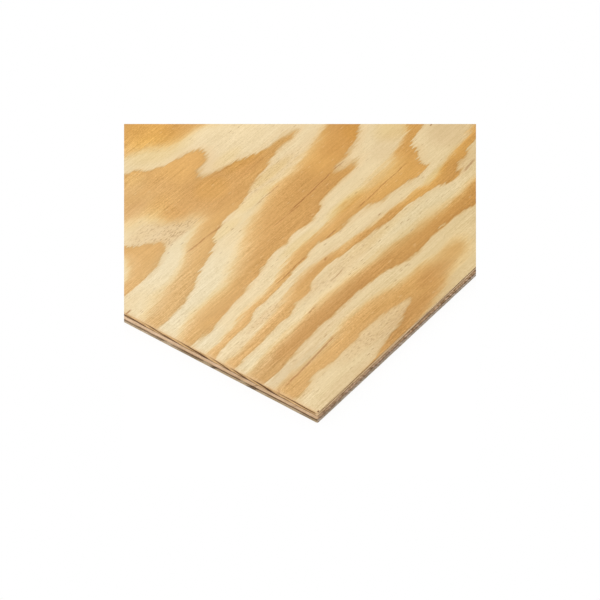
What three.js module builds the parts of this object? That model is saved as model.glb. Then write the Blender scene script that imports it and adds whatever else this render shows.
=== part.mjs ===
// A full sheet of three-ply softwood sheathing plywood, lying flat with its face up.
//
// Millimetres, +Z up. X runs along the grain of the face, which is the long way of the sheet,
// and Y runs across it. The origin is at the middle of the underside.
//
// Three rotary-peeled pine veneers are glued one on another: the back and the face with their
// grain along the sheet, and the core between them with its grain across. The pressed sheet is
// then trimmed, so that all three veneers end flush in one sawn edge on every side.

import * as THREE from "three";

// The trimmed sheet
const sheetLength = 2438.4;
const sheetWidth = 1219.2;

// The veneers as peeled and pressed, and the cured adhesive between each two of them
const backThickness = 3.63;
const coreThickness = 3.63;
const faceThickness = 3.63;
const glueLine = 0.1;

// The corners are trimmed square, and handling rounds them a little
const cornerWear = 1.5;
const cornerWearSteps = 4;

// Heights of the undersides, each veneer on the glue line over the one below
const backBottom = 0;
const coreBottom = backBottom + backThickness + glueLine;
const faceBottom = coreBottom + coreThickness + glueLine;

// The trimmed outline that all three veneers share
function trimmedOutline() {
  const arcX = sheetLength / 2 - cornerWear;
  const arcY = sheetWidth / 2 - cornerWear;
  const quarter = Math.PI / 2;
  const outline = new THREE.Shape();
  outline.absarc(arcX, arcY, cornerWear, 0, quarter);
  outline.absarc(-arcX, arcY, cornerWear, quarter, 2 * quarter);
  outline.absarc(-arcX, -arcY, cornerWear, 2 * quarter, 3 * quarter);
  outline.absarc(arcX, -arcY, cornerWear, 3 * quarter, 4 * quarter);
  return outline;
}

// One flat veneer, lying with its underside at the given height
function veneer(name, thickness, bottom, color) {
  const geometry = new THREE.ExtrudeGeometry(trimmedOutline(), {
    depth: thickness,
    bevelEnabled: false,
    curveSegments: cornerWearSteps / 2,
  });
  const material = new THREE.MeshStandardMaterial({ color, roughness: 0.75, metalness: 0 });
  const mesh = new THREE.Mesh(geometry, material);
  mesh.name = name;
  mesh.position.z = bottom;
  return mesh;
}

// The face is the cleanest veneer, the core shows its pinkish side grain on the ends of the
// sheet, and the back is the roughest and darkest
const sheet = new THREE.Group();
sheet.add(veneer("back_veneer", backThickness, backBottom, 0xa98c68));
sheet.add(veneer("core_veneer", coreThickness, coreBottom, 0xdcb48c));
sheet.add(veneer("face_veneer", faceThickness, faceBottom, 0xe8c890));

export default sheet;
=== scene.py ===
# A full sheet of three-ply pine sheathing plywood, lying flat with its face up.
# Metres, in the frame of the solid model: x runs along the sheet, y across it, z up from the floor.
import math

import bmesh
import bpy
import numpy as np
from mathutils import Matrix, Vector


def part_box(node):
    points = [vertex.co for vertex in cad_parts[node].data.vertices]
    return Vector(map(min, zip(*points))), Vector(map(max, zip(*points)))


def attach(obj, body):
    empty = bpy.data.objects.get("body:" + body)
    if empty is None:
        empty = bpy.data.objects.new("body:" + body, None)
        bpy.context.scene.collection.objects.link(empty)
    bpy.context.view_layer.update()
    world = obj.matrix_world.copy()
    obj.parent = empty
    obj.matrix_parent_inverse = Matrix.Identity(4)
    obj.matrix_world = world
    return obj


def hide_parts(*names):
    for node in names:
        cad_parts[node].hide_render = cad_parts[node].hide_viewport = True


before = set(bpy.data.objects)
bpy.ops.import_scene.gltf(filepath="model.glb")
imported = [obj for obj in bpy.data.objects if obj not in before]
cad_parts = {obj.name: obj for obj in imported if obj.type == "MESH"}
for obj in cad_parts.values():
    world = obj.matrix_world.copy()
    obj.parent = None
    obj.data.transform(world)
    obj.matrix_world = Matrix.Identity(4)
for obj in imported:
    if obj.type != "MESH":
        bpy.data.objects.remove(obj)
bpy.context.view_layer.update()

# -----------------------------------------------------------------------------
# Back veneer. The lowest of the three plies: rotary-peeled pine, 3.6 mm thick, grain along the
# sheet. It is a poorer and greyer peel than the face, glued to the core and trimmed by saw.

MM = 0.001
back_low, back_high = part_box("back_veneer")
core_low, core_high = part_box("core_veneer")
face_low, face_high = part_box("face_veneer")
sheet_length = back_high.x - back_low.x
sheet_width = back_high.y - back_low.y
lower_glue = (back_high.z + core_low.z) / 2
upper_glue = (core_high.z + face_low.z) / 2

corner_wear = 1.5 * MM
side_column = 9.0 * MM
saw_bite = 0.05 * MM
saw_pitch = 31.0 * MM
full_turn = 6.28
ring_depth = 3.8 * MM
step_growth = 1.06
map_span = 3.0


def columns(length, close_step, wide_step, close_run):
    """Distances from one edge of the sheet at which a ply's mesh has its columns."""
    marks = [0.0, corner_wear / 2, corner_wear]
    step = close_step
    while marks[-1] + step * 1.5 < length - corner_wear:
        marks.append(marks[-1] + step)
        if marks[-1] > close_run:
            step = min(wide_step, step * step_growth)
    return marks + [length - corner_wear, length - corner_wear / 2, length]


def to_saw_line(vert, height, inward=0.0):
    """Puts an edge point of a ply on the saw-cut line, a little inside it, at a height."""
    x, y = vert.co.x - back_low.x, vert.co.y - back_low.y
    near = Vector((
        min(max(x, corner_wear), sheet_length - corner_wear),
        min(max(y, corner_wear), sheet_width - corner_wear),
    ))
    bite = saw_bite * (1 + math.sin((x + y) / saw_pitch * full_turn + height / MM))
    out = (Vector((x, y)) - near).normalized() * (corner_wear - inward - bite)
    vert.co = (back_low.x + near.x + out.x, back_low.y + near.y + out.y, height)


def drop_sides(ply, rim, heights):
    """The sawn sides of a ply: its rim goes down row by row, and a flat underside closes it."""
    for height in heights:
        grown = bmesh.ops.extrude_edge_only(ply, edges=rim)["geom"]
        rim = [g for g in grown if isinstance(g, bmesh.types.BMEdge)]
        for vert in [g for g in grown if isinstance(g, bmesh.types.BMVert)]:
            to_saw_line(vert, height)
    rim = [edge for edge in ply.edges if edge.is_boundary]
    bmesh.ops.contextual_create(ply, geom=rim)
    bmesh.ops.recalc_face_normals(ply, faces=ply.faces[:])


def sawn_slab(top, bottom):
    """A ply that shows no more than its sides and one plain face, as a disc drawn out square."""
    x_marks = columns(sheet_length, side_column, side_column, 0)
    y_marks = columns(sheet_width, side_column, side_column, 0)
    walk = [(x, 0.0) for x in x_marks[:-1]]
    walk += [(sheet_length, y) for y in y_marks[:-1]]
    walk += [(x, sheet_width) for x in reversed(x_marks[1:])]
    walk += [(0.0, y) for y in reversed(y_marks[1:])]
    ply = bmesh.new()
    bmesh.ops.create_circle(ply, cap_ends=True, segments=len(walk), radius=1.0)
    for vert in ply.verts:
        turn = math.atan2(vert.co.y, vert.co.x) / (2 * math.pi) % 1.0
        x, y = walk[round(turn * len(walk)) % len(walk)]
        vert.co = (back_low.x + x, back_low.y + y, top)
        to_saw_line(vert, top)
    drop_sides(ply, ply.edges[:], [top + (bottom - top) * share for share in (0.33, 0.67, 1.0)])
    return ply


SURFACE, END_GRAIN, SIDE_GRAIN = 0, 1, 2


def finished_ply(ply, name, finishes, grain_axis):
    """Makes the piece, and gives its flat faces, its end-grain sides and its other sides a finish."""
    for face in ply.faces:
        across = abs(face.normal[grain_axis])
        beside = abs(face.normal[1 - grain_axis])
        face.smooth = abs(face.normal.z) > 0.5
        if face.smooth:
            face.material_index = SURFACE
        else:
            face.material_index = END_GRAIN if across > beside else SIDE_GRAIN
    flat_map = ply.loops.layers.uv.new("flat")
    for face in ply.faces:
        for loop in face.loops:
            at = loop.vert.co
            loop[flat_map].uv = (at.x / map_span + 0.5 + at.z, at.y / map_span + 0.5 + at.z)
    mesh = bpy.data.meshes.new(name)
    ply.to_mesh(mesh)
    ply.free()
    for finish in finishes:
        mesh.materials.append(finish)
    piece = bpy.data.objects.new(name, mesh)
    bpy.context.scene.collection.objects.link(piece)
    return piece


def paint(red, green, blue):
    """A colour as a maker mixes it, 0 to 255 on a screen, in the linear light that shaders take."""
    parts = [value / 255 for value in (red, green, blue)]
    linear = [p / 12.92 if p <= 0.04045 else ((p + 0.055) / 1.055) ** 2.4 for p in parts]
    return (*linear, 1.0)


def node(tree, kind, inputs=None, **settings):
    """One shader node, with its settings, and its sockets either set or joined up."""
    made = tree.nodes.new("ShaderNode" + kind)
    for key, value in settings.items():
        setattr(made, key, value)
    for key, value in (inputs or {}).items():
        if isinstance(value, bpy.types.NodeSocket):
            tree.links.new(value, made.inputs[key])
        else:
            made.inputs[key].default_value = value
    return made


def calc(tree, operation, first, second=0.0, third=0.0):
    """A sum on one or more values, or on sockets."""
    inputs = {0: first, 1: second, 2: third}
    return node(tree, "Math", inputs, operation=operation).outputs[0]


def times(tree, first, second, plus=0.0):
    """One value or socket times another, and a third added."""
    return calc(tree, "MULTIPLY_ADD", first, second, plus)


def ramp(tree, value, start, end, low=0.0, high=1.0):
    """A soft step from low to high as the value goes from start to end."""
    inputs = {"Value": value, "From Min": start, "From Max": end, "To Min": low, "To Max": high}
    made = node(tree, "MapRange", inputs, interpolation_type="SMOOTHSTEP")
    return made.outputs[0]


def blend(tree, amount, first, second, way="MIX"):
    """One colour worked into another by an amount."""
    made = node(tree, "Mix", None, data_type="RGBA", blend_type=way)
    for slot_number, value in ((0, amount), (6, first), (7, second)):
        if isinstance(value, bpy.types.NodeSocket):
            tree.links.new(value, made.inputs[slot_number])
        else:
            made.inputs[slot_number].default_value = value
    return made.outputs[2]


def colour_stops(tree, value, stops):
    """A colour that runs through the stops as the value goes from 0 to 1."""
    made = node(tree, "ValToRGB", {0: value})
    band = made.color_ramp
    while len(band.elements) < len(stops):
        band.elements.new(0.5)
    for element, (place, colour) in zip(band.elements, stops):
        element.position = place
        element.color = colour
    return made.outputs[0]


def sheet_place(tree):
    """Millimetres on the sheet, from the corner where the two good edges meet and from the floor."""
    spot = node(tree, "TexCoord").outputs["Object"]
    corner = (-back_low.x / MM, -back_low.y / MM, 0.0)
    inputs = {"Vector": spot, "Location": corner, "Scale": (1 / MM, 1 / MM, 1 / MM)}
    return node(tree, "Mapping", inputs).outputs[0]


def fibres(tree, place, along, across, deep, detail=2.0, shift=0.0):
    """Uneven streaks of a given size in millimetres, about zero, from -1 to 1."""
    size = (1 / along, 1 / across, 1 / deep)
    inputs = {"Vector": place, "Scale": size, "Location": (shift, shift * 0.7, shift * 0.3)}
    drawn = node(tree, "Mapping", inputs).outputs[0]
    grain = node(tree, "TexNoise", {"Vector": drawn, "Scale": 1.0, "Detail": detail})
    return times(tree, grain.outputs[0], 2.0, plus=-1.0)


def split_place(tree, place):
    """The three parts of a place: along the sheet, across it and up."""
    return node(tree, "SeparateXYZ", {0: place}).outputs


def lit(tree, colour, value):
    """A colour made lighter or darker by a value about one, and deeper where it is darker."""
    parts = {0: value, 1: calc(tree, "POWER", value, 1.2), 2: calc(tree, "POWER", value, 1.75)}
    tint = node(tree, "CombineColor", parts).outputs[0]
    return blend(tree, 1.0, colour, tint, "MULTIPLY")


def wood_finish(name, roughness):
    """An empty finish with its shader, whose even values stand on the shader's own sockets."""
    finish = bpy.data.materials.new(name)
    finish.use_nodes = True
    tree = finish.node_tree
    shader = tree.nodes["Principled BSDF"]
    shader.inputs["Roughness"].default_value = roughness
    shader.inputs["Specular IOR Level"].default_value = 0.25
    return finish, tree, shader


def raised(tree, shader, height, distance):
    """Fine relief from a height, in metres at full strength."""
    bump = node(tree, "Bump", {"Strength": 1.0, "Distance": distance, "Height": height})
    tree.links.new(bump.outputs[0], shader.inputs["Normal"])


def peeled_rings(tree, place, shift, girth=545.0, taper=210.0, off_centre=2.6):
    """Growth rings as a rotary lathe lays them open: long ovals where the knife meets the log.

    girth is the way round the log and taper the way along it to the next ring, in millimetres,
    and off_centre is by how many rings the pith lies off the lathe's axis.
    """
    x, y, z = split_place(tree, place)
    turned = calc(tree, "COSINE", times(tree, y, 2 * math.pi / girth, plus=shift))
    slope = times(tree, x, 1 / taper, plus=times(tree, turned, -off_centre))
    bends = times(tree, fibres(tree, place, 520, 150, 400, 1.0, shift), 2.1)
    wander = times(tree, fibres(tree, place, 60, 14, 40, 1.0, shift), 0.12)
    jagged = times(tree, fibres(tree, place, 12, 2.6, 9, 2.0, shift), 0.10)
    rings = calc(tree, "ADD", calc(tree, "ADD", slope, bends), calc(tree, "ADD", wander, jagged))
    return calc(tree, "SUBTRACT", rings, calc(tree, "DIVIDE", z, ring_depth / MM))


def back_surface():
    """Rough, greyed pine with soft ring bands, which nobody sanded."""
    finish, tree, shader = wood_finish("back_pine", 0.72)
    place = sheet_place(tree)
    turn = calc(tree, "FRACT", peeled_rings(tree, place, 2.3))
    wood = colour_stops(tree, turn, [
        (0.00, paint(190, 158, 118)),
        (0.08, paint(206, 182, 143)),
        (0.36, paint(205, 178, 136)),
        (0.60, paint(186, 146, 99)),
        (0.96, paint(172, 128, 82)),
        (1.00, paint(186, 150, 108)),
    ])
    weather = ramp(tree, fibres(tree, place, 300, 60, 50, 3.0, 8.0), -0.2, 0.5, 0.0, 0.6)
    wood = blend(tree, weather, wood, paint(152, 138, 112))
    streaks = fibres(tree, place, 45, 0.8, 5, 3.0)
    wood = lit(tree, wood, times(tree, streaks, 0.10, plus=1.0))
    tree.links.new(wood, shader.inputs["Base Color"])
    raised(tree, shader, fibres(tree, place, 20, 0.5, 3, 2.0), 0.05 * MM)
    return finish


def marks_along(tree, along, marks):
    """How strongly a side is marked at each place along it: middles, half-widths and amounts."""
    marked = 0.0
    for middle, half, amount in marks:
        off = calc(tree, "ABSOLUTE", calc(tree, "SUBTRACT", along, middle))
        marked = calc(tree, "MAXIMUM", marked, ramp(tree, off, half * 1.4, half * 0.5, 0.0, amount))
    return marked


def on_side(tree, place, along, tall, detail=2.0, shift=0.0):
    """Streaks on a sawn side, which run on unchanged into the wood behind it."""
    return fibres(tree, place, along, 900, tall, detail, shift)


def glue_stain(tree, from_lines, glue, soak, soak_reach):
    """How dark glue makes a side, on its lower and upper glue lines and where it soaked in."""
    line = 0.0
    soaked = 0.0
    for from_line, glued, strength in zip(from_lines, glue, soak):
        if glued:
            line = calc(tree, "MAXIMUM", line, ramp(tree, from_line, 0.42, 0.12))
            near = ramp(tree, from_line, soak_reach, 0.1, 0.0, strength)
            soaked = calc(tree, "MAXIMUM", soaked, near)
    return calc(tree, "MAXIMUM", times(tree, line, 0.8), soaked)


def sawn_edge(name, early, late, glue, ply_low, ply_high, run, size, tall, lean, mottle, lines,
              soak, paler, soak_reach=0.9, turned=0.0, bends=1.6, begin=0.45,
              gaps=(9.0, 0.35, 0.35), stains=(), bare=()):
    """A ply's sawn side. Its rings show as thin lines that lie nearly flat, with dark glue lines.

    early and late are the colours of its spring and summer wood. glue says whether its lower and
    its upper face are glued, and run is the axis that the side runs along. size and tall are the
    length and height of its grain marks, lean how far they slant, and mottle how strong they are.
    lines is how bold the growth rings are, turned and begin which part of a ring it starts in and
    where the summer wood begins, and bends how much the rings wander. soak is how dark the lower
    and the upper glue have left the wood, and soak_reach how far from them. gaps is how long the
    runs of glue are, how much glue shows between them, and how softly they end. paler is from
    where to where along the side it gets paler, and by how much. stains are its darkest places,
    and bare is where its summer wood is missing.
    """
    finish, tree, shader = wood_finish(name, 0.8)
    x, y, z = split_place(tree, sheet_place(tree))
    side, other = (x, y) if run == 0 else (y, x)
    slanted = times(tree, z, lean, plus=side)
    place = node(tree, "CombineXYZ", {0: slanted, 1: other, 2: z}).outputs[0]
    wander = times(tree, on_side(tree, place, 190, 9, 2.0, 3.0), bends)
    rings = times(tree, z, -MM / ring_depth, plus=calc(tree, "ADD", wander, turned))
    turn = calc(tree, "FRACT", rings)
    frayed = times(tree, on_side(tree, place, 5, 6, 2.0, 4.0), 1.5, plus=slanted)
    kept = calc(tree, "SUBTRACT", 1.0, marks_along(tree, frayed, bare))
    band = times(tree, ramp(tree, turn, begin, 0.9), ramp(tree, turn, 1.0, 0.95))
    band = times(tree, times(tree, band, lines), kept)
    wood = blend(tree, band, early, late)
    patches = on_side(tree, place, size, tall, 3.0, 5.0)
    paleness = ramp(tree, side, paler[0], paler[1], 1.0, 1.0 + paler[2])
    wood = lit(tree, wood, times(tree, patches, mottle, plus=paleness))
    grit_size, grit_height = size * 0.12, 0.25
    grit = on_side(tree, place, grit_size, grit_height, 2.0, 1.0)
    wood = lit(tree, wood, times(tree, grit, 0.16, plus=1.0))
    stained = marks_along(tree, frayed, stains)
    wood = blend(tree, stained, wood, (0.20, 0.15, 0.11, 1.0), "MULTIPLY")
    height = calc(tree, "SUBTRACT", z, ply_low / MM)
    depth = calc(tree, "SUBTRACT", (ply_high - ply_low) / MM, height)
    near_glue = glue_stain(tree, (height, depth), glue, soak, soak_reach)
    broken = on_side(tree, place, gaps[0], 30, 3.0, 7.0)
    broken = ramp(tree, broken, -gaps[2], gaps[2] - 0.1, gaps[1], 1.0)
    near_glue = times(tree, times(tree, near_glue, broken), kept)
    wood = blend(tree, near_glue, wood, paint(100, 58, 18))
    tree.links.new(wood, shader.inputs["Base Color"])
    raised(tree, shader, on_side(tree, place, grit_size, grit_height, 2.0, 2.0), 0.06 * MM)
    return finish


back_ends = sawn_edge(
    "back_end_grain", paint(167, 146, 115), paint(88, 56, 24), (False, True),
    back_low.z, lower_glue, run=1, size=7, tall=9, lean=1.6, mottle=0.38, lines=0.95,
    soak=(0.0, 0.42), soak_reach=1.2, turned=0.53, bends=0.35, begin=0.55, paler=(70, 170, 0.12),
    stains=((14, 5, 0.40), (67, 4, 0.75), (106, 2, 0.8), (130, 10, 0.35), (161, 4, 0.35)),
    bare=((78, 3, 0.8), (114, 4, 0.8), (154, 4, 0.8)))
back_sides = sawn_edge(
    "back_side_grain", paint(181, 163, 142), paint(148, 124, 98), (False, True),
    back_low.z, lower_glue, run=0, size=1.8, tall=4, lean=1.2, mottle=0.70, lines=0.6,
    soak=(0.0, 0.80), soak_reach=1.3, gaps=(4.5, 0.0, 0.20), paler=(60, 120, 0.05))
back_veneer = finished_ply(
    sawn_slab(lower_glue, back_low.z), "back_ply", [back_surface(), back_ends, back_sides], 0)
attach(back_veneer, "root")
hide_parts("back_veneer")

# -----------------------------------------------------------------------------
# Core veneer. The middle ply: the same peeled pine, laid with its grain across the sheet, so the
# long edges show its end grain and the short ends its side grain. Two dark glue lines bound it.

core_ends = sawn_edge(
    "core_end_grain", paint(204, 168, 132), paint(108, 75, 48), (True, True),
    lower_glue, upper_glue, run=0, size=1.8, tall=3, lean=1.0, mottle=1.20, lines=0.50,
    soak=(0.95, 0.90), soak_reach=1.0, bends=1.0, gaps=(3.0, 0.45, 0.25), paler=(85, 165, -0.22),
    stains=((24, 2.5, 0.30), (40, 3, 0.30), (14, 1.2, 0.4), (77, 1.5, 0.4), (100, 3, 0.30)))
core_sides = sawn_edge(
    "core_side_grain", paint(207, 175, 139), paint(190, 150, 114), (True, True),
    lower_glue, upper_glue, run=1, size=9, tall=4, lean=1.2, mottle=0.30, lines=0.5,
    soak=(0.0, 0.92), paler=(60, 200, 0.14),
    stains=((67.6, 0.8, 0.65), (3, 3, 0.25), (29, 1.2, 0.2)))
core_veneer = finished_ply(
    sawn_slab(upper_glue, lower_glue), "core_ply", [core_sides, core_ends, core_sides], 1)
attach(core_veneer, "root")
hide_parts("core_veneer")

# -----------------------------------------------------------------------------
# Face veneer. The good ply on top: clear rotary-peeled pine, lightly sanded, grain along the
# sheet. Its wide cream and tan bands are the growth rings, cut open where the knife ran along them.

arris_wear = 0.35 * MM
close_column = 2.6 * MM
wide_column = 10.0 * MM
close_run = 385.0 * MM
face_wave = 0.05 * MM
face_waves = ((0.083, 0.21), (-0.34, 0.117))
side_rows = (1.3 * MM, 2.4 * MM)

# Where each growth ring ends on the face: its number, and points in millimetres from the corner.
# A half number is the soft middle of a ring, where cream spring wood turns to tan summer wood.
ring_lines = [
    (0.0, [
        (134, 307), (143, 305), (150, 299), (156, 291.7), (165, 288), (180, 284.5), (196, 281.5),
        (200, 278), (203, 273.5), (203, 270.5), (199, 266.6), (190, 262), (180, 260),
        (171.5, 255.3), (180, 249.5), (190, 245.2), (205, 243.2), (215, 240.3), (225, 235.3),
        (240, 233), (260, 230.3), (268, 228), (272, 225), (264, 222.8), (240, 222.3),
        (230, 220.3), (215, 216), (200, 213.7), (190, 211), (175, 206.5), (160, 203),
        (140, 201.2), (125, 198.5), (115, 192.5), (110, 188), (98, 184.3), (88, 182), (70, 175),
        (60, 170), (40, 165.3), (30, 162.7), (0, 161.5),
    ]),
    (-1.0, [
        (60, 251), (64, 246), (67, 242), (73, 237), (80, 232), (86, 228), (87, 223), (80, 218),
        (70, 213.3), (50, 209), (40, 207.5), (20, 208.3),
    ]),
    (-1.5, [
        (54, 240), (50, 232), (46, 226), (38, 222), (25, 217),
    ]),
    (-0.5, [
        (93, 271), (102, 266.5), (110, 260.8), (115, 254), (115, 248), (113, 240), (120, 233),
        (130, 228), (136, 223), (130, 215.5), (119, 211), (105, 208), (95, 203.5), (85, 197.5),
        (75, 192), (60, 187.2), (40, 184), (20, 178.5), (0, 174.7),
    ]),
    (0.5, [
        (155, 321), (170, 317.5), (180, 311), (187, 304), (195, 299), (210, 297.5), (230, 295),
    ]),
    (0.5, [
        (0, 139), (10, 143.5), (20, 146.5), (30, 149), (50, 150.5), (70, 150.8), (80, 152.3),
        (90, 157), (100, 161.5), (110, 163.5), (120, 168), (130, 173), (140, 178.5), (150, 182.5),
        (160, 185), (170, 187.5), (190, 193), (200, 195.5), (220, 196), (230, 196.4), (240, 197.7),
        (250, 199.7), (260, 201), (275, 204.3), (290, 209), (298, 211),
    ]),
    (1.0, [
        (0, 126.5), (20, 126.6), (37, 127), (45, 129), (60, 130.5), (70, 132.8), (80, 134),
        (90, 135.5), (105, 137.5), (115, 140), (122, 142.5), (135, 143), (150, 142), (160, 145),
        (168, 143.8), (178, 143.3), (190, 144.3), (200, 147), (208, 151.5), (220, 152.2),
        (240, 154), (260, 155), (267, 158), (272, 161.3), (262, 161.8), (255, 164), (249.5, 167.5),
        (258, 167.5), (270, 171), (280, 173.5), (290, 175), (300, 178.5), (310, 184), (317, 186.5),
    ]),
    (1.5, [
        (0, 112), (20, 112), (40, 115), (50, 118), (60, 119), (80, 119.2), (97, 120.4), (105, 123),
        (115, 125.2), (130, 130), (150, 132.5), (165, 132), (180, 131), (190, 132), (200, 133.5),
        (215, 136), (230, 136), (250, 136.5), (265, 137.5), (285, 139.5), (297, 141.2), (312, 143),
        (322, 145.5), (330, 149), (337, 155),
    ]),
    (2.0, [
        (0, 102.5), (8, 104.5), (20, 106), (30, 106.5), (50, 105.8), (57, 109), (65, 112.5),
        (80, 112.8), (90, 113), (110, 115), (130, 117.5), (145, 118), (153, 121), (162, 121.5),
        (172, 119.8), (180, 118), (192, 119.3), (210, 118.4), (228, 118.3), (235, 115),
        (243, 111.5), (260, 110.3), (275, 108.5), (287, 107), (300, 105.5), (304, 107), (306, 111),
        (305, 116), (309, 121.5), (317, 128), (322, 132.5), (318, 136.3), (326, 139), (345, 141.5),
        (350, 143.5),
    ]),
    (2.5, [
        (0, 94), (20, 92.8), (40, 94.6), (60, 98), (75, 99.5), (87, 101), (97, 104), (105, 107),
        (120, 108), (135, 108), (150, 107), (160, 107), (168, 106), (173, 103.5), (185, 103),
        (200, 101), (220, 99.5), (240, 98.7), (260, 98), (272, 97), (282, 95), (292, 94.3),
        (302, 96.3), (312, 99.3), (325, 100.5), (340, 102), (355, 104), (368, 107),
    ]),
    (3.0, [
        (0, 83.3), (20, 84), (40, 85), (60, 86.3), (82, 87), (90, 90), (100, 90.6), (113, 91),
        (123, 95), (130, 99.3), (145, 99.2), (155, 97.6), (170, 96.4), (180, 95.5), (190, 95.3),
        (205, 93.2), (220, 92.3), (240, 91.5), (260, 90.3), (275, 88), (290, 84.3), (297, 80.5),
        (308, 79), (315, 80.3), (318, 85.3), (328, 88.5), (342, 90), (347, 93.5), (353, 95.5),
        (361, 95.7),
    ]),
    (3.5, [
        (0, 70), (20, 71.5), (40, 72.5), (60, 73.2), (80, 75), (100, 75), (120, 74.5), (140, 74),
        (160, 72.5), (180, 71), (200, 70), (220, 68.5), (240, 67.5), (260, 64.8), (280, 63.3),
        (300, 64.2), (315, 66),
    ]),
    (4.0, [
        (0, 53), (20, 53.2), (40, 55), (53, 57.8), (70, 57.5), (90, 58.8), (120, 59), (145, 59),
        (160, 58.3), (170, 57.5), (177, 55), (184, 51.8), (195, 49.5), (210, 49.5), (230, 50),
        (250, 52), (270, 48.8), (287, 46),
    ]),
    (4.5, [
        (0, 42), (10, 42), (20, 41.5), (40, 41), (60, 41.5), (84, 43), (100, 45.7), (120, 44.5),
        (140, 43.5), (155, 38), (170, 36.7), (190, 35.8), (200, 31.5), (206, 29.8), (215, 29),
        (226, 29.3), (233, 28.5), (235, 26.5), (230, 24.5), (222, 22), (210, 20), (200, 17),
        (190, 12), (178, 7.5), (164, 4), (153, 2), (141, 0),
    ]),
    (5.0, [
        (0, 25), (5, 23.5), (13, 23), (20, 25.5), (30, 28.2), (40, 26.2), (55, 26.3), (75, 27.5),
        (90, 26.6), (97, 28), (103, 29.7), (112, 28.2), (125, 27.7), (135, 25), (150, 22.5),
        (158, 20), (150, 16.8), (140, 14), (130, 11), (120, 7.8), (108, 6.5), (100, 4.5), (90, 3),
        (78, 1), (65, 0),
    ]),
]

# Single places between the lines, each with the ring that shows there.
ring_spots = [
    (280, 164, 1.06), (292, 166, 1.1), (305, 162, 1.2), (262, 165.2, 1.02), (312, 107, 2.12),
    (309, 112, 2.08), (322, 135, 2.08), (267, 223.5, 0.0), (279, 224.5, 0.04),
    (110, 80, 3.38), (150, 80, 3.37), (170, 78, 3.37), (200, 77.5, 3.38), (235, 74, 3.38),
    (165, 67, 3.64), (200, 66, 3.63), (235, 61.5, 3.63), (200, 84, 3.33), (280, 70, 3.37),
    (250, 128, 1.63), (262, 131, 1.62), (280, 129, 1.64), (280, 134, 1.60), (295, 134, 1.62),
    (250, 121, 1.80), (215, 129, 1.65),
    (100, 250, -0.64), (100, 240, -0.70), (127, 250, -0.36), (126, 240, -0.34),
    (138, 233, -0.30), (147, 222, -0.34), (100, 222, -0.80),
    (262, 165.5, 1.05), (20, 12, 5.22), (60, 14, 5.22), (100, 17, 5.15), (130, 18, 5.1),
    (250, 250, 0.25), (230, 270, 0.25), (215, 230, -0.25), (160, 232, -0.3), (150, 270, -0.3),
    (200, 340, 0.8), (225, 10, 4.35), (250, 25, 4.35),
]
line_stretch = 2.2
line_reach = 70.0

# The log, in millimetres and rings: the way round it, where its middle lay, where its second turn
# began, the way along it to the next ring, how far off centre the pith is, and what it spiralled.
log_girth = 560.0
log_axis = 238.0
first_turn = 350.0
log_taper = 190.0
log_off_centre = 3.3
log_spiral = 0.9
ring_at_corner = 0.465
bend_count = 14
bend_size = 0.45
bends_in_log = np.random.RandomState(5)
log_bends = []
for bend in range(bend_count):
    around = bends_in_log.randint(1, 5)
    length = bends_in_log.uniform(350, 1400)
    size = bend_size / around * bends_in_log.uniform(0.4, 1)
    way = bends_in_log.choice([-1, 1])
    turn = bends_in_log.uniform(0, full_turn)
    log_bends.append((around, 2 * np.pi / length * way, turn, size))

# Wider bends that grow as the log gets thinner: size in rings, reach along and across, and start.
late_bends = [(1.3, 330, 240, 0.6), (0.7, 145, -190, 2.0)]


def log_rings(x, y):
    """The rings that the knife opens on a long log, whose pith wanders a little off its axis.

    They come round again with each turn of the log, changed more the thinner it has been peeled.
    """
    round_log = 2 * np.pi * (y - log_axis) / log_girth
    rings = x / log_taper + ring_at_corner - log_off_centre * np.cos(round_log)
    rings = rings - log_spiral * (y - log_axis) / log_girth
    for around, slope, turn, size in log_bends:
        rings = rings + size * np.sin(2 * np.pi * around * y / log_girth + slope * x + turn)
    peeled_off = np.clip((y - first_turn) / log_girth, 0, 2)
    for size, along, across, start in late_bends:
        rings = rings + peeled_off * size * np.sin(x / along + y / across + start)
    return rings


def pull(there, here):
    """How strongly each known point of a ring line holds the rings at each place."""
    dx = (there[:, None, 0] - here[None, :, 0]) / line_stretch
    dy = there[:, None, 1] - here[None, :, 1]
    far = np.sqrt(dx * dx + dy * dy) / line_reach
    return (1 + far) * np.exp(-far)


give = 1e-4
batch = 20000
known = np.array([(x, y, ring) for ring, line in ring_lines for x, y in line] + ring_spots)
off_log = known[:, 2] - log_rings(known[:, 0], known[:, 1])
stiffness = pull(known, known) + give * np.eye(len(known))
pulls = np.linalg.solve(stiffness, off_log)


def face_rings(places):
    """The ring number at each place of the face, through the known lines and as the log goes on."""
    rings = log_rings(places[:, 0], places[:, 1])
    for start in range(0, len(places), batch):
        some = slice(start, start + batch)
        rings[some] += pull(places[some], known) @ pulls
    return rings


def peeled_sheet():
    """The face ply: a fine mesh on top with a faint wave in it, and its sawn sides."""
    x_marks = columns(sheet_length, close_column, wide_column, close_run)
    y_marks = columns(sheet_width, close_column, wide_column, close_run)
    ply = bmesh.new()
    across, along = len(y_marks) - 1, len(x_marks) - 1
    bmesh.ops.create_grid(ply, x_segments=along, y_segments=across, size=1.0)
    for vert in ply.verts:
        x = x_marks[round((vert.co.x + 1) / 2 * along)]
        y = y_marks[round((vert.co.y + 1) / 2 * across)]
        dip = face_wave * sum(1 + math.sin(x / far + y / wide) for far, wide in face_waves)
        vert.co = (back_low.x + x, back_low.y + y, face_high.z - dip)
        if vert.is_boundary:
            to_saw_line(vert, face_high.z - dip, arris_wear)
    rim = [edge for edge in ply.edges if edge.is_boundary]
    top = face_high.z - face_wave * 4
    rows = [top - arris_wear * 0.8, *(top - down for down in side_rows), upper_glue]
    drop_sides(ply, rim, rows)
    return ply


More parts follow.
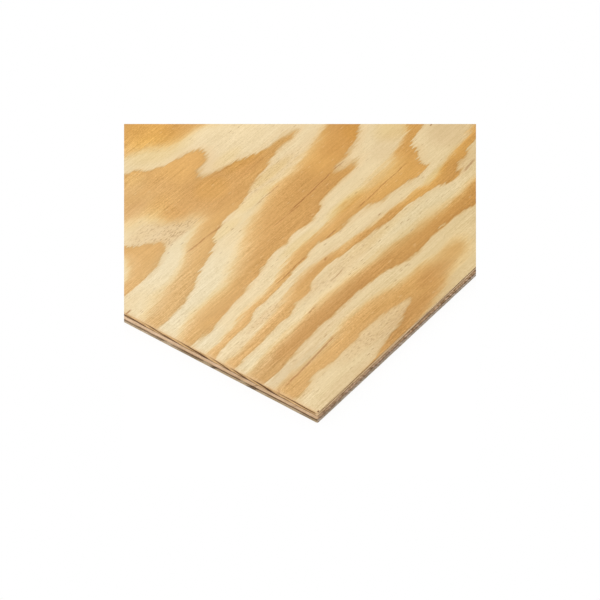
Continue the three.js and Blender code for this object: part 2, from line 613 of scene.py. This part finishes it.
# Drying checks, knife marks and smudges on the face, whose darkness is partly painted shade inside
# the
# open checks: both ends in millimetres from the corner, then how wide each is and how dark.
face_checks = [
    (182, 164.5, 250, 168.0, 0.80, 0.58), (156, 164.0, 200, 163.4, 0.90, 0.38),
    (220, 121.8, 300, 124.2, 0.80, 0.52), (170, 193.0, 210, 193.6, 0.80, 0.50),
    (86, 201.4, 138, 199.2, 1.20, 0.44), (174, 247.4, 208, 240.8, 1.10, 0.18),
    (7, 38.1, 84, 42.9, 1.10, 0.50), (100, 117.6, 148, 119.4, 0.80, 0.50),
    (172, 119.4, 190, 119.5, 0.80, 0.52), (88, 75.4, 105, 77.2, 1.10, 0.58),
    (-3, 193.0, 7, 193.0, 1.30, 1.00), (0.3, 0.6, 3.2, 1.2, 1.30, 1.00),
    (352, 137.4, 356, 137.7, 1.00, 0.95), (225, 102.4, 229, 102.5, 0.80, 0.70),
    (74, 48.5, 79, 48.6, 0.80, 0.38), (0, 38.8, 3, 39.3, 1.60, 0.55),
    (315, 78.3, 340, 80.5, 1.60, 0.45), (150, 104.1, 158, 105.5, 1.30, 0.55),
    (130, 84.2, 155, 85.6, 1.00, 0.48), (88, 219.2, 140, 220.0, 0.80, 0.28),
    (250, 168.4, 270, 168.6, 0.90, 0.60),
]
# A small hole by the corner, where a pin or a splinter has come out, painted dark as the shade inside
# it.
pin_hole_shade = (1.7, 0.9)

# Patches of torn spring wood: the middle, the reach along and across, and how badly torn.
torn_patches = [
    (106, 227, 40, 11, 1.0), (86, 240, 24, 15, 0.7), (215, 208, 60, 10, 0.55),
    (28, 93, 45, 6, 0.4), (72, 101, 36, 5, 0.9), (90, 49, 45, 6, 0.3),
    (110, 20, 60, 9, 0.8), (150, 88, 60, 8, 0.5), (330, 84, 45, 8, 0.4),
    (262, 165, 14, 3, 0.6),
]
# Patches that handling and sap have browned a little, told in the same way.
brown_patches = [
    (140, 7, 70, 12, 0.62), (44, 3, 46, 8, 0.35), (165, 232, 42, 26, 0.45),
    (122, 240, 30, 12, 0.40), (208, 229, 24, 9, 0.55), (104, 271, 20, 8, 0.50),
    (178, 267, 40, 24, 0.30), (285, 194, 30, 24, 0.40), (28, 46, 50, 8, 0.55),
    (192, 22, 26, 10, 0.65), (100, 65, 95, 10, 0.45), (78, 55, 44, 4, 0.40),
    (140, 106, 46, 7, 0.35), (218, 97, 44, 9, 0.35), (313, 150, 34, 14, 0.30),
    (357, 120, 28, 22, 0.50),
]
# Patches where the summer wood has stayed paler, where both are bleached, and where it is golden.
pale_summer = [
    (270, 112, 40, 38, 0.60), (188, 332, 36, 22, 0.70), (110, 140, 90, 12, 0.25),
    (22, 131, 26, 10, 0.45), (185, 275, 36, 30, 0.90), (138, 310, 22, 22, 0.95),
    (275, 178, 45, 30, 0.80), (273, 92, 34, 8, 0.90), (280, 132, 18, 8, 0.70),
    (352, 94, 30, 18, 0.75),
]
bleached_patches = [
    (50, 165, 75, 36, 0.70), (80, 201, 60, 20, 0.60), (14, 62, 22, 24, 0.50),
    (15, 125, 22, 14, 0.60), (130, 292, 20, 12, 0.60), (60, 43, 46, 6, 0.60),
    (240, 74, 70, 13, 0.60), (278, 130, 26, 9, 0.60), (262, 230, 26, 6, 0.50),
]
golden_patches = [
    (196, 325, 34, 26, 0.75), (318, 178, 28, 26, 0.70), (262, 212, 40, 14, 0.35),
    (222, 242, 34, 14, 0.50), (168, 236, 20, 16, 0.50),
]
# Patches where resin has left the wood yellow as the spring wood passes into summer wood.
resin_patches = [
    (190, 308, 44, 24, 0.65), (336, 161, 30, 18, 0.70), (222, 133, 32, 7, 0.90),
    (156, 134, 28, 6, 0.50), (126, 250, 28, 18, 0.70), (210, 228, 28, 9, 0.60),
    (58, 145, 40, 10, 0.30), (206, 92, 50, 10, 0.30), (302, 95, 22, 5, 0.80),
    (130, 194, 28, 6, 0.60), (178, 199, 32, 7, 0.60), (213, 209, 34, 6, 0.80),
    (208, 251, 22, 7, 0.50),
]


def in_patches(tree, x, y, patches):
    """One in the middle of a patch, falling softly to nothing at its rim, times its own amount."""
    inside = 0.0
    for at_x, at_y, half_x, half_y, amount in patches:
        off_x = times(tree, x, 1 / half_x, plus=-at_x / half_x)
        off_y = times(tree, y, 1 / half_y, plus=-at_y / half_y)
        far = calc(tree, "ADD", calc(tree, "POWER", off_x, 2.0), calc(tree, "POWER", off_y, 2.0))
        inside = calc(tree, "MAXIMUM", inside, ramp(tree, far, 1.3, 0.1, 0.0, amount))
    return inside


def on_face(tree, place, along, across, detail=2.0, shift=0.0):
    """Streaks on the face, which run on unchanged into the wood below it."""
    return fibres(tree, place, along, across, 50, detail, shift)


def checked(tree, place, x, y):
    """Where the checks lie, from 0 to their darkness, partly painted shade in the open checks: thin
    lines that waver and break off.
    """
    wobble = times(tree, on_face(tree, place, 12, 6, 2.0, 5.0), 1.2)
    marked = 0.0
    for x0, y0, x1, y1, width, dark in face_checks:
        slope = (y1 - y0) / (x1 - x0)
        off = times(tree, x, -slope, plus=slope * x0 - y0)
        off = calc(tree, "ABSOLUTE", calc(tree, "ADD", calc(tree, "ADD", off, y), wobble))
        over = calc(tree, "ABSOLUTE", calc(tree, "SUBTRACT", x, (x0 + x1) / 2))
        half = (x1 - x0) / 2
        soft = min(half * 0.6, 8.0)
        line = ramp(tree, off, width, width * 0.2, 0.0, dark)
        line = times(tree, line, ramp(tree, over, half + 0.5, half - soft))
        marked = calc(tree, "MAXIMUM", marked, line)
    broken = ramp(tree, on_face(tree, place, 7, 3, 2.0, 12.0), -0.5, 0.1, 0.35, 1.0)
    return times(tree, marked, broken)


def ducts(tree, place, shift, share):
    """Resin ducts that the knife opened: short thin dashes along the grain, in a share of cells."""
    inputs = {"Vector": place, "Scale": (1 / 10, 1 / 1.9, 1 / 50), "Location": (shift, shift, 0)}
    cells = node(tree, "Mapping", inputs).outputs[0]
    cell = node(tree, "TexVoronoi", {"Vector": cells, "Scale": 1.0})
    kept = split_place(tree, cell.outputs["Color"])[0]
    dash = ramp(tree, cell.outputs["Distance"], 0.30, 0.10)
    return times(tree, dash, ramp(tree, kept, 1 - share, 1.05 - share))


def season_of(tree, rings):
    """How rich the summer wood of each place's year is, from -1 to 1."""
    year = calc(tree, "FLOOR", rings)
    return calc(tree, "COSINE", times(tree, year, 2.1, plus=0.25))


def frayed_rings(tree, place, sap):
    """The ring number at each place, whose lines the knife frayed across and along the grain."""
    rings = node(tree, "Attribute", attribute_name="ring").outputs["Fac"]
    slope = node(tree, "Attribute", attribute_name="ring_slope").outputs["Vector"]
    slope_along, slope_across = split_place(tree, slope)[:2]
    torn_across = times(tree, fibres(tree, place, 22, 3.6, 40, 1.0), 3.4)
    torn_across = calc(tree, "ADD", fibres(tree, place, 5.5, 1.1, 40, 2.0), torn_across)
    torn_along = times(tree, sap, 5.0, plus=8.0)
    torn_along = times(tree, fibres(tree, place, 14, 1.6, 40, 2.0, 6.0), torn_along)
    rings = times(tree, slope_across, torn_across, plus=rings)
    return times(tree, slope_along, torn_along, plus=rings)


def year_share(tree, rings):
    """How much of its year's growth is done at each place, from 0 to 1.

    Some years the summer wood began late, so the soft middle of the ring lies further on.
    """
    turn = calc(tree, "FRACT", rings)
    late = times(tree, calc(tree, "FLOOR", rings), 1.3, plus=-1.69)
    late = times(tree, calc(tree, "COSINE", late), 0.06, plus=0.01)
    late = times(tree, late, ramp(tree, turn, 0.1, 0.3))
    late = times(tree, late, ramp(tree, turn, 0.97, 0.75))
    return calc(tree, "SUBTRACT", turn, late)


def ring_bands(tree, turn, summer, season, sap):
    """Cream spring wood that turns to tan summer wood, paler or deeper from ring to ring.

    Along the sheet sap has left the summer wood more golden.
    """
    wood = colour_stops(tree, turn, [
        (0.000, paint(222, 187, 131)),
        (0.035, paint(238, 212, 167)),
        (0.120, paint(240, 218, 176)),
        (0.380, paint(241, 218, 174)),
        (0.460, paint(240, 211, 159)),
        (0.530, paint(235, 198, 141)),
        (0.600, paint(233, 192, 134)),
        (0.700, paint(231, 187, 126)),
        (0.860, paint(227, 182, 119)),
        (0.970, paint(225, 180, 119)),
        (1.000, paint(217, 174, 114)),
    ])
    deepen = times(tree, ramp(tree, turn, 0.50, 0.80), ramp(tree, turn, 1.0, 0.985))
    deepen = times(tree, deepen, times(tree, season, 0.43, plus=0.38))
    wood = blend(tree, deepen, wood, (0.87, 0.81, 0.74, 1.0), "MULTIPLY")
    golden = times(tree, summer, times(tree, sap, 0.73, plus=0.45))
    return blend(tree, golden, wood, (0.91, 0.81, 0.57, 1.0), "MULTIPLY")


def toned(tree, wood, x, y, turn, summer):
    """Wood that resin has yellowed, that runs darker and browner in broad slanting waves, and that
    handling has darkened here and there.
    """
    resin = times(tree, ramp(tree, turn, 0.26, 0.44), ramp(tree, turn, 0.78, 0.56))
    far_off = ramp(tree, calc(tree, "ADD", x, y), 420, 640, 0.0, 0.38)
    resin = times(tree, resin, far_off)
    yellowed = in_patches(tree, x, y, resin_patches)
    yellowed = times(tree, yellowed, ramp(tree, turn, 0.85, 0.60))
    resin = calc(tree, "MAXIMUM", resin, yellowed)
    wood = blend(tree, resin, wood, (0.95, 0.89, 0.70, 1.0), "MULTIPLY")
    # Darker and browner in broad slanting waves across the sheet.
    swing = times(tree, y, -2.0, plus=x)
    swing = calc(tree, "SINE", times(tree, swing, 1 / 230, plus=-0.21))
    tone = times(tree, swing, 0.47, plus=0.60)
    wood = blend(tree, tone, wood, (0.80, 0.75, 0.62, 1.0), "MULTIPLY")
    for patches, only_in, tint in (
        (brown_patches, 1.0, (0.84, 0.76, 0.70, 1.0)),
        (pale_summer, summer, (1.14, 1.17, 1.15, 1.0)),
        (bleached_patches, 1.0, (0.98, 1.05, 1.16, 1.0)),
        (golden_patches, summer, (1.03, 0.98, 0.72, 1.0)),
    ):
        amount = times(tree, in_patches(tree, x, y, patches), only_in)
        wood = blend(tree, amount, wood, tint, "MULTIPLY")
    return wood


def streaked(tree, place, x, y, rings, summer):
    """How light growth, fibres, hair lines and specks leave each place: a value about one."""
    along_ring = node(tree, "CombineXYZ", {
        0: calc(tree, "DIVIDE", x, 160.0),
        1: calc(tree, "DIVIDE", y, 160.0),
        2: times(tree, rings, 8.0),
    }).outputs[0]
    growth = node(tree, "TexNoise", {"Vector": along_ring, "Scale": 1.0, "Detail": 3.0})
    cloud = times(tree, on_face(tree, place, 70, 16, 3.0, 4.0), 0.09)
    cloud = times(tree, growth.outputs[0], 0.18, plus=calc(tree, "ADD", cloud, 0.91))
    streaks = times(tree, on_face(tree, place, 48, 1.0, 2.0, 9.0), 0.27)
    hairs = times(tree, on_face(tree, place, 20, 0.55, 2.0, 2.0), 0.22, plus=streaks)
    specks = times(tree, on_face(tree, place, 1.7, 0.55, 1.0, 1.0), 0.30, plus=hairs)
    nicks = times(tree, on_face(tree, place, 5.0, 0.8, 1.0, 31.0), 0.14)
    at_end = ramp(tree, x, 50, 5, 0.0, 1.0)
    nicked = times(tree, at_end, calc(tree, "SUBTRACT", 1.0, summer))
    specks = times(tree, nicks, nicked, plus=specks)
    rougher = ramp(tree, on_face(tree, place, 60, 30, 2.0, 14.0), -0.35, 0.35, 0.55, 1.35)
    rougher = times(tree, rougher, times(tree, summer, 0.46, plus=0.66))
    sanded = calc(tree, "ADD", ramp(tree, y, 35, 120, 1.25, 0.90), ramp(tree, y, 340, 500, 0.0, 0.5))
    rougher = times(tree, rougher, sanded)
    return calc(tree, "POWER", times(tree, specks, rougher, plus=cloud), 0.80)


def opened(tree, wood, place, x, y, summer):
    """Where the knife tore the spring wood a little, its open ducts show as grey-brown flecks."""
    spring = calc(tree, "SUBTRACT", 1.0, summer)
    torn = times(tree, in_patches(tree, x, y, torn_patches), spring)
    wood = blend(tree, times(tree, torn, 0.36), wood, paint(218, 176, 120))
    dashes = calc(tree, "MAXIMUM", ducts(tree, place, 0.0, 0.26), ducts(tree, place, 7.3, 0.16))
    in_rows = ramp(tree, on_face(tree, place, 90, 24, 2.0, 19.0), -0.3, 0.35, 0.10, 0.60)
    dashes = times(tree, dashes, in_rows)
    flecks = ramp(tree, on_face(tree, place, 3.6, 0.9, 2.0, 17.0), 0.0, 0.4)
    flecks = times(tree, times(tree, flecks, torn), 0.52)
    dark = times(tree, calc(tree, "MAXIMUM", dashes, flecks), spring)
    wood = blend(tree, dark, wood, paint(150, 106, 66))
    pale = times(tree, ducts(tree, place, 11.7, 0.16), summer)
    return blend(tree, times(tree, pale, 0.30), wood, paint(244, 212, 160))


def wear_and_painted_light(tree, wood, x, y):
    """Wood paler at its lit sawn end, partly a painted highlight, darker on its arris, and the pin
    hole painted dark as shade.
    """
    # Paler towards the lit sawn end: a painted highlight along that arris, on fibres the saw left
    # frayed.
    wood = blend(tree, ramp(tree, x, 5, 0, 0.0, 0.40), wood, paint(232, 196, 150))
    # Darker along the arrises, most near the corner.
    arris = ramp(tree, calc(tree, "MINIMUM", x, y), 0.9, 0.1, 0.0, 0.45)
    arris = times(tree, arris, ramp(tree, x, 110, 160, 1.0, 0.3))
    wood = blend(tree, arris, wood, paint(158, 116, 70))
    # The pin hole: a dark spot painted as the shade inside it.
    off_x = calc(tree, "POWER", calc(tree, "SUBTRACT", x, pin_hole_shade[0]), 2.0)
    off_y = calc(tree, "POWER", calc(tree, "SUBTRACT", y, pin_hole_shade[1]), 2.0)
    hole_shade = ramp(tree, calc(tree, "ADD", off_x, off_y), 0.6, 0.25, 0.0, 0.85)
    return blend(tree, hole_shade, wood, paint(74, 44, 22))


def face_surface():
    """Lightly sanded pine: ring bands with jagged ends, fibres, resin ducts, checks and smudges."""
    finish, tree, shader = wood_finish("face_pine", 0.62)
    place = sheet_place(tree)
    x, y = split_place(tree, place)[:2]
    sap = calc(tree, "SINE", times(tree, x, 1 / 200, plus=-0.75))
    rings = frayed_rings(tree, place, sap)
    turn = year_share(tree, rings)
    summer = times(tree, ramp(tree, turn, 0.45, 0.62), ramp(tree, turn, 1.0, 0.985))
    wood = ring_bands(tree, turn, summer, season_of(tree, rings), sap)
    wood = toned(tree, wood, x, y, turn, summer)
    wood = lit(tree, wood, streaked(tree, place, x, y, rings, summer))
    wood = opened(tree, wood, place, x, y, summer)
    cracks = checked(tree, place, x, y)
    # The checks darkened: partly their own colour and smudges, partly painted shade inside the open
    # checks.
    wood = blend(tree, cracks, wood, (0.40, 0.17, 0.05, 1.0), "MULTIPLY")
    wood = wear_and_painted_light(tree, wood, x, y)
    tree.links.new(wood, shader.inputs["Base Color"])

    stand = times(tree, ramp(tree, turn, 0.4, 0.95), 0.6)
    grain = times(tree, on_face(tree, place, 16, 0.45, 2.0, 6.0), 0.25, plus=stand)
    raised(tree, shader, calc(tree, "SUBTRACT", grain, cracks), 0.05 * MM)
    return finish


def face_edge(name, spring_wood, summer_wood, run, begin, full, end, split_at):
    """The face ply's sawn side, on which the same rings as on the face go down to the glue.

    run is the axis the side runs along; in each ring the summer wood begins, is full and ends, and
    thin splits that the lathe knife left open are painted dark at split_at, as the shade inside them.
    """
    finish, tree, shader = wood_finish(name, 0.8)
    x, y, z = split_place(tree, sheet_place(tree))
    side, other = (x, y) if run == 0 else (y, x)
    place = node(tree, "CombineXYZ", {0: side, 1: other, 2: z}).outputs[0]
    rings = node(tree, "Attribute", attribute_name="ring").outputs["Fac"]
    rings = times(tree, on_side(tree, place, 14, 2.0, 2.0), 0.10, plus=rings)
    turn = calc(tree, "FRACT", rings)
    early = times(tree, season_of(tree, rings), 0.06, plus=turn)
    summer = times(tree, ramp(tree, early, begin, full), ramp(tree, turn, 1.0, end))
    bold = ramp(tree, on_side(tree, place, 12, 4, 2.0, 4.0), -0.5, 0.4, 0.72, 0.98)
    wood = blend(tree, times(tree, summer, bold), spring_wood, summer_wood)
    # The open splits: dark summer-wood colour painted in them as their shade.
    split = calc(tree, "ABSOLUTE", calc(tree, "SUBTRACT", turn, split_at))
    open_here = ramp(tree, on_side(tree, place, 9, 4, 2.0, 13.0), -0.15, 0.25, 0.0, 0.8)
    split = times(tree, ramp(tree, split, 0.09, 0.03), open_here)
    wood = blend(tree, split, wood, summer_wood)
    patches = on_side(tree, place, 14, 3, 2.0, 21.0)
    paleness = ramp(tree, side, 70, 190, 1.0, 1.10)
    wood = lit(tree, wood, times(tree, patches, 0.12, plus=paleness))
    grit = on_side(tree, place, 5, 0.35, 2.0, 1.0)
    wood = lit(tree, wood, times(tree, grit, 0.28, plus=1.0))
    above_glue = calc(tree, "SUBTRACT", z, upper_glue / MM)
    broken = ramp(tree, on_side(tree, place, 16, 30, 3.0, 7.0), -0.3, 0.25, 0.3, 1.0)
    near_glue = times(tree, ramp(tree, above_glue, 0.60, 0.15), broken)
    wood = blend(tree, near_glue, wood, paint(78, 48, 22))
    # Paler within a few millimetres of the corner: a painted highlight on the rounded upright corner.
    wood = blend(tree, ramp(tree, side, 3.2, 1.2, 0.0, 0.55), wood, paint(232, 200, 156))
    tree.links.new(wood, shader.inputs["Base Color"])
    raised(tree, shader, on_side(tree, place, 5, 0.35, 2.0, 2.0), 0.06 * MM)
    return finish


# Where the rings lie a little higher or lower on the short side than the face alone tells: places
# in millimetres from the corner, then by how much of a ring.
end_shift = [
    (0, 0.0), (25, 0.0), (55, 0.22), (72, 0.0), (92, -0.22), (125, 0.10), (155, 0.17), (200, 0.14),
    (260, 0.0),
]
face_ends = face_edge(
    "face_end_grain", paint(213, 172, 118), paint(74, 40, 12), run=1,
    begin=0.36, full=0.70, end=0.93, split_at=0.18)
face_sides = face_edge(
    "face_side_grain", paint(224, 189, 142), paint(84, 46, 18), run=0,
    begin=0.62, full=0.88, end=0.97, split_at=0.40)
face_veneer = finished_ply(
    peeled_sheet(), "face_ply", [face_surface(), face_ends, face_sides], 0)
spots = np.empty(len(face_veneer.data.vertices) * 3)
face_veneer.data.vertices.foreach_get("co", spots)
spots = spots.reshape(-1, 3)
from_corner = (spots[:, :2] - (back_low.x, back_low.y)) / MM
depth = np.maximum(0, face_high.z - 4 * face_wave - spots[:, 2]) / ring_depth
ring = face_veneer.data.attributes.new("ring", "FLOAT", "POINT")
ring_here = face_rings(from_corner)
shift_places, shift_sizes = np.array(end_shift).T
on_short_side = (depth > 0) & (from_corner[:, 0] < side_column / MM)
shifted = np.where(on_short_side, np.interp(from_corner[:, 1], shift_places, shift_sizes), 0.0)
ring.data.foreach_set("value", (ring_here - depth + shifted).astype(np.float32))
slope_step = 0.5
slopes = np.zeros((len(from_corner), 3), np.float32)
for axis, step in ((0, (slope_step, 0.0)), (1, (0.0, slope_step))):
    slopes[:, axis] = (face_rings(from_corner + step) - ring_here) / slope_step
ring_slope = face_veneer.data.attributes.new("ring_slope", "FLOAT_VECTOR", "POINT")
ring_slope.data.foreach_set("vector", slopes.ravel())
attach(face_veneer, "root")
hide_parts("face_veneer")

# -----------------------------------------------------------------------------
# The studio: a plain white floor that keeps the sheet's shadow, white air, one soft lamp.

floor_reach = 400.0
floor_gap = 0.1 * MM
floor_white = 0.80
floor_shadow = 0.18
sky_level = 0.56
lamp_level = 1.85
lamp_from = Vector((-0.62, -0.10, 0.80))
lamp_width = 35.0


def seen_directly(tree):
    """One for rays from the camera, and for rays that gloss or glass send on."""
    path = node(tree, "LightPath").outputs
    gloss = calc(tree, "MAXIMUM", path["Is Glossy Ray"], path["Is Transmission Ray"])
    return calc(tree, "MAXIMUM", path["Is Camera Ray"], gloss)


def empty_finish(name):
    """A finish with no shader in it yet."""
    finish = bpy.data.materials.new(name)
    finish.use_nodes = True
    finish.node_tree.nodes.clear()
    return finish, finish.node_tree


floor_mesh = bpy.data.meshes.new("floor")
floor_shape = bmesh.new()
bmesh.ops.create_grid(floor_shape, x_segments=1, y_segments=1, size=floor_reach)
floor_shape.transform(Matrix.Translation((0, 0, back_low.z - floor_gap)))
floor_shape.to_mesh(floor_mesh)
floor_shape.free()
floor_finish, floor_tree = empty_finish("floor_white")
glow = node(floor_tree, "Emission", {"Color": (1, 1, 1, 1), "Strength": 1.0})
matt = node(floor_tree, "BsdfDiffuse", {"Color": (1, 1, 1, 1)})
dull = node(floor_tree, "BsdfDiffuse", {"Color": (floor_white,) * 3 + (1,)})
shadowed = node(floor_tree, "MixShader", {
    0: floor_shadow, 1: glow.outputs[0], 2: matt.outputs[0]})
either = node(floor_tree, "MixShader", {
    0: seen_directly(floor_tree), 1: dull.outputs[0], 2: shadowed.outputs[0]})
node(floor_tree, "OutputMaterial", {0: either.outputs[0]})
floor_mesh.materials.append(floor_finish)
floor = bpy.data.objects.new("floor", floor_mesh)
bpy.context.scene.collection.objects.link(floor)

world = bpy.data.worlds.new("white_air")
bpy.context.scene.world = world
world.use_nodes = True
air = world.node_tree
level = times(air, seen_directly(air), 1.0 - sky_level, plus=sky_level)
air.nodes["Background"].inputs["Color"].default_value = (1, 1, 1, 1)
air.links.new(level, air.nodes["Background"].inputs["Strength"])

lamp_data = bpy.data.lights.new("soft_lamp", "SUN")
lamp_data.energy = lamp_level
lamp_data.angle = math.radians(lamp_width)
lamp = bpy.data.objects.new("soft_lamp", lamp_data)
lamp.rotation_mode = "QUATERNION"
lamp.rotation_quaternion = lamp_from.to_track_quat("Z", "Y")
bpy.context.scene.collection.objects.link(lamp)

# -----------------------------------------------------------------------------
# The camera stands off the near corner and looks down at it through a long lens. A small white
# mount with a square window hangs in front of the lens, so that the view ends in white all round.

camera_turn = math.radians(-53.959)
camera_height = math.radians(41.51)
camera_roll = math.radians(0.878)
camera_distance = 2.3477
lens_pixels = 3000.0
picture_side = 600.0
corner_in_picture = (317.79, 413.05)
window_half = 176.0

ahead = Vector((
    -math.sin(camera_turn) * math.cos(camera_height),
    math.cos(camera_turn) * math.cos(camera_height),
    -math.sin(camera_height),
))
level_right = Vector((math.cos(camera_turn), math.sin(camera_turn), 0))
level_up = level_right.cross(ahead)
right = level_right * math.cos(camera_roll) + level_up * math.sin(camera_roll)
up = level_up * math.cos(camera_roll) - level_right * math.sin(camera_roll)
to_corner = (
    ahead
    + right * (corner_in_picture[0] - picture_side / 2) / lens_pixels
    - up * (corner_in_picture[1] - picture_side / 2) / lens_pixels
)
near_corner = Vector((face_low.x, face_low.y, face_high.z))
camera_data = bpy.data.cameras.new("camera")
camera_data.sensor_width = 36.0
camera_data.lens = camera_data.sensor_width * lens_pixels / picture_side
camera_data.clip_start = 0.001
camera_data.clip_end = 1000.0
camera = bpy.data.objects.new("camera", camera_data)
stand = near_corner - to_corner * camera_distance
camera.matrix_world = Matrix((
    (right.x, up.x, -ahead.x, stand.x),
    (right.y, up.y, -ahead.y, stand.y),
    (right.z, up.z, -ahead.z, stand.z),
    (0, 0, 0, 1),
))
bpy.context.scene.collection.objects.link(camera)
bpy.context.scene.camera = camera

mount_ahead = 0.008
mount_half = 1.3 * picture_side / 2
mount_shape = bmesh.new()
bmesh.ops.create_grid(
    mount_shape, x_segments=1, y_segments=1, size=mount_ahead * mount_half / lens_pixels)
bmesh.ops.inset_individual(
    mount_shape, faces=mount_shape.faces[:], use_even_offset=True,
    thickness=mount_ahead * (mount_half - window_half) / lens_pixels)
window = min(mount_shape.faces, key=lambda f: f.calc_center_median().length)
bmesh.ops.delete(mount_shape, geom=[window], context="FACES")
mount_shape.transform(camera.matrix_world @ Matrix.Translation((0, 0, -mount_ahead)))
mount_mesh = bpy.data.meshes.new("picture_mount")
mount_shape.to_mesh(mount_mesh)
mount_shape.free()
mount_finish, mount_tree = empty_finish("mount_white")
mount_glow = node(mount_tree, "Emission", {"Color": (1, 1, 1, 1), "Strength": 1.0})
node(mount_tree, "OutputMaterial", {0: mount_glow.outputs[0]})
mount_mesh.materials.append(mount_finish)
mount = bpy.data.objects.new("picture_mount", mount_mesh)
mount.visible_diffuse = False
mount.visible_glossy = False
mount.visible_transmission = False
mount.visible_shadow = False
bpy.context.scene.collection.objects.link(mount)

bpy.context.scene.view_settings.view_transform = "Standard"
